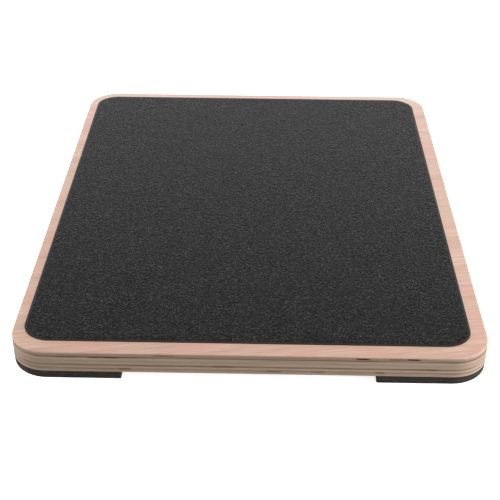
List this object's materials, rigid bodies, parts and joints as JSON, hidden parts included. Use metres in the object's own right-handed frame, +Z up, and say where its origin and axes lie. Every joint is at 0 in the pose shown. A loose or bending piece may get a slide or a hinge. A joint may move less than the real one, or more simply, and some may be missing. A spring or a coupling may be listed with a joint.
{
  "type": "slant board",
  "caption": "Plywood standing deck with a grip sheet, hinged to a thin base frame and propped at a choice of notched angles, folded flat on rubber corner pads.",
  "frame": {"origin": "floor level under the middle of the whole board, hinge barrels included", "axes": "+X to the right seen from the near edge that lifts, +Y towards the hinged far edge, +Z up"},
  "size_m": [0.343, 0.4532, 0.0237],
  "materials": {
    "deck_wood": "satin-sealed birch plywood with bare plies on its edges",
    "base_wood": "thin unfinished birch plywood",
    "grip": "charcoal mineral-grit grip sheet",
    "rubber": "matte near-black rubber",
    "zinc": "zinc-plated steel",
    "rod": "drawn bright steel rod",
    "prop_paint": "black powder coat",
    "rack": "milled aluminium"
  },
  "bodies": {
    "base": {"base_panel": "base_wood", "bracket_rivet_left_1": "zinc", "bracket_rivet_left_2": "zinc", "bracket_rivet_right_1": "zinc", "bracket_rivet_right_2": "zinc", "foot_far_left": "rubber", "foot_far_right": "rubber", "foot_middle_left": "rubber", "foot_middle_right": "rubber", "foot_near_left": "rubber", "foot_near_right": "rubber", "hinge_base_leaf_left": "zinc", "hinge_base_leaf_right": "zinc", "hinge_pin_left": "rod", "hinge_pin_right": "rod", "hinge_rivet_left_1": "zinc", "hinge_rivet_left_2": "zinc", "hinge_rivet_right_1": "zinc", "hinge_rivet_right_2": "zinc", "pivot_bracket_left": "zinc", "pivot_bracket_right": "zinc"},
    "deck": {"deck_panel": "deck_wood", "grip_sheet": "grip", "hinge_deck_leaf_left": "zinc", "hinge_deck_leaf_right": "zinc", "hinge_screw_left_1": "zinc", "hinge_screw_left_2": "zinc", "hinge_screw_right_1": "zinc", "hinge_screw_right_2": "zinc", "pad_near_left": "rubber", "pad_near_right": "rubber", "pad_screw_left_1": "zinc", "pad_screw_left_2": "zinc", "pad_screw_right_1": "zinc", "pad_screw_right_2": "zinc", "rack_left": "rack", "rack_right": "rack", "rack_screw_left_1": "zinc", "rack_screw_left_2": "zinc", "rack_screw_right_1": "zinc", "rack_screw_right_2": "zinc"},
    "prop": {"brace_screw_left": "zinc", "brace_screw_right": "zinc", "catch_rod": "rod", "pivot_rod": "rod", "prop_arm_left": "prop_paint", "prop_arm_right": "prop_paint", "prop_brace": "prop_paint"}
  },
  "joints": [
    {"name": "deck_tilt", "type": "hinge", "parent": "base", "child": "deck", "pos_m": [0, 0.2227, 0.0049], "axis": [-1, 0, 0], "range_deg": [0, 30]},
    {"name": "prop_swing", "type": "hinge", "parent": "base", "child": "prop", "pos_m": [0, 0.0044, 0.0032], "axis": [-1, 0, 0], "range_deg": [0, 60]}
  ],
  "couplings": [
    {"joint": "prop_swing", "follows": "deck_tilt", "ratio": 2}
  ]
}
